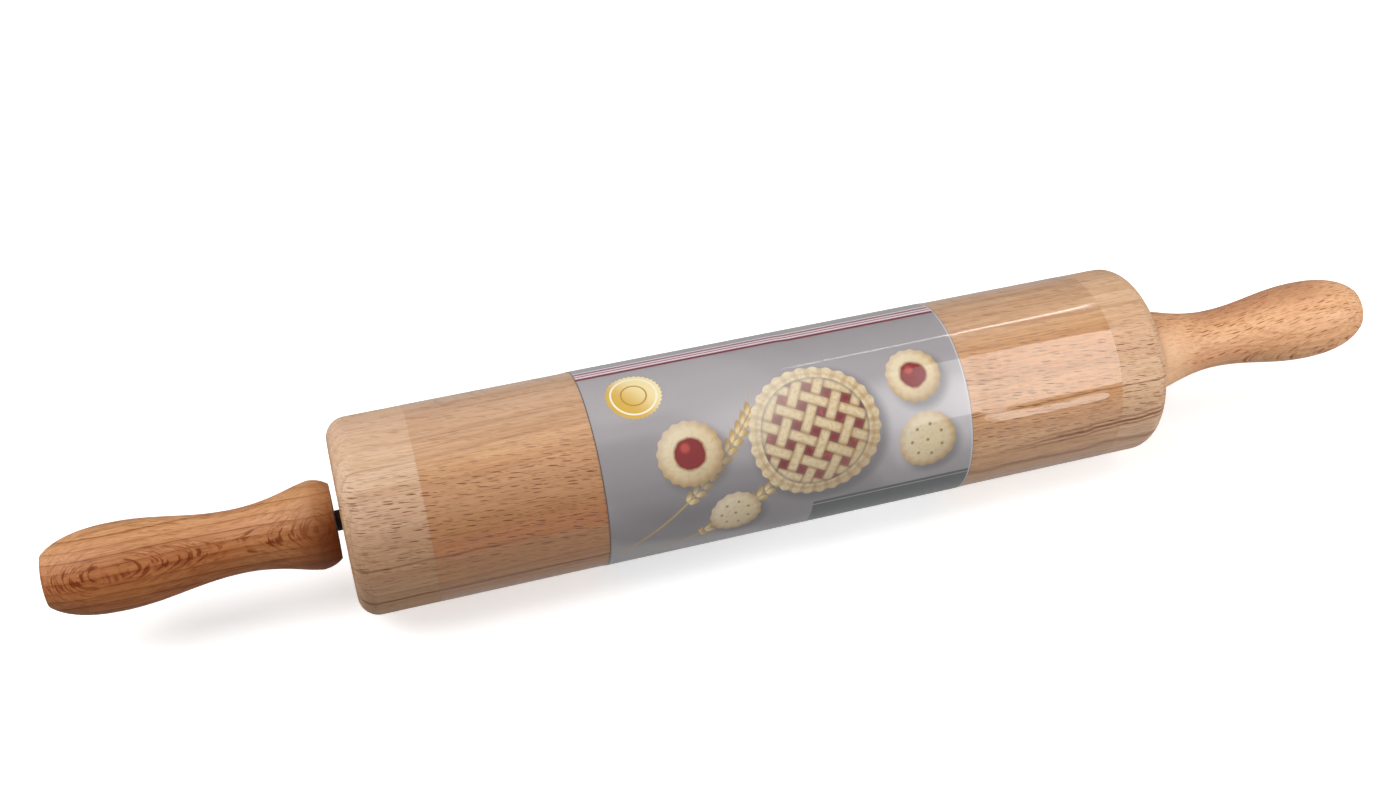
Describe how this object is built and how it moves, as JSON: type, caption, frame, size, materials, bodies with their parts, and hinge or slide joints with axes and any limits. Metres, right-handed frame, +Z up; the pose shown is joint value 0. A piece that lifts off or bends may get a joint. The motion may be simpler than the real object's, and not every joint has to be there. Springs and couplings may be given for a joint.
{
  "type": "rolling pin",
  "caption": "Beech rolling pin whose roller spins on ball bearings round a steel rod fixed in two turned handles, with a paper sleeve under clear film.",
  "frame": {"origin": "centre of the footprint, straight below the middle of the pin, on the plane it rests on", "axes": "+X along the pin from the left handle to the right handle, +Z up from the plane it rests on"},
  "size_m": [0.43, 0.062, 0.0619],
  "materials": {
    "beech_roller": "sanded bare beech with fine dark flecks along the grain",
    "beech_handle_near": "smooth turned beech, red brown, with ray figure",
    "beech_handle_far": "smooth turned beech, light tan, with flecks",
    "steel_rod": "drawn steel",
    "bearing_steel": "polished bearing steel",
    "cage_steel": "pressed sheet steel",
    "spacer_black": "near-black nylon",
    "label_paper": "silver-grey coated paper with a dark red stripe",
    "film_clear": "clear glossy shrink film"
  },
  "bodies": {
    "roller": {"roller": "beech_roller", "label_sleeve": "label_paper", "clear_film": "film_clear", "bearing_outer_race_left": "bearing_steel", "bearing_outer_race_right": "bearing_steel"},
    "axle": {"axle_rod": "steel_rod", "handle_left": "beech_handle_near", "handle_right": "beech_handle_far", "spacer_left": "spacer_black", "spacer_right": "spacer_black", "bearing_inner_race_left": "bearing_steel", "bearing_inner_race_right": "bearing_steel"},
    "cage_left": {"ball_cage_left": "cage_steel", "ball_left_1": "bearing_steel", "ball_left_2": "bearing_steel", "ball_left_3": "bearing_steel", "ball_left_4": "bearing_steel", "ball_left_5": "bearing_steel", "ball_left_6": "bearing_steel", "ball_left_7": "bearing_steel"},
    "cage_right": {"ball_cage_right": "cage_steel", "ball_right_1": "bearing_steel", "ball_right_2": "bearing_steel", "ball_right_3": "bearing_steel", "ball_right_4": "bearing_steel", "ball_right_5": "bearing_steel", "ball_right_6": "bearing_steel", "ball_right_7": "bearing_steel"}
  },
  "joints": [
    {"name": "axle_turn", "type": "hinge", "parent": "roller", "child": "axle", "pos_m": [0, 0, 0.03096], "axis": [1, 0, 0], "continuous": true},
    {"name": "cage_turn_left", "type": "hinge", "parent": "roller", "child": "cage_left", "pos_m": [-0.1265, 0, 0.03096], "axis": [1, 0, 0], "continuous": true},
    {"name": "cage_turn_right", "type": "hinge", "parent": "roller", "child": "cage_right", "pos_m": [0.1265, 0, 0.03096], "axis": [1, 0, 0], "continuous": true}
  ],
  "couplings": [
    {"joint": "cage_turn_left", "follows": "axle_turn", "ratio": 0.3514},
    {"joint": "cage_turn_right", "follows": "axle_turn", "ratio": 0.3514}
  ]
}
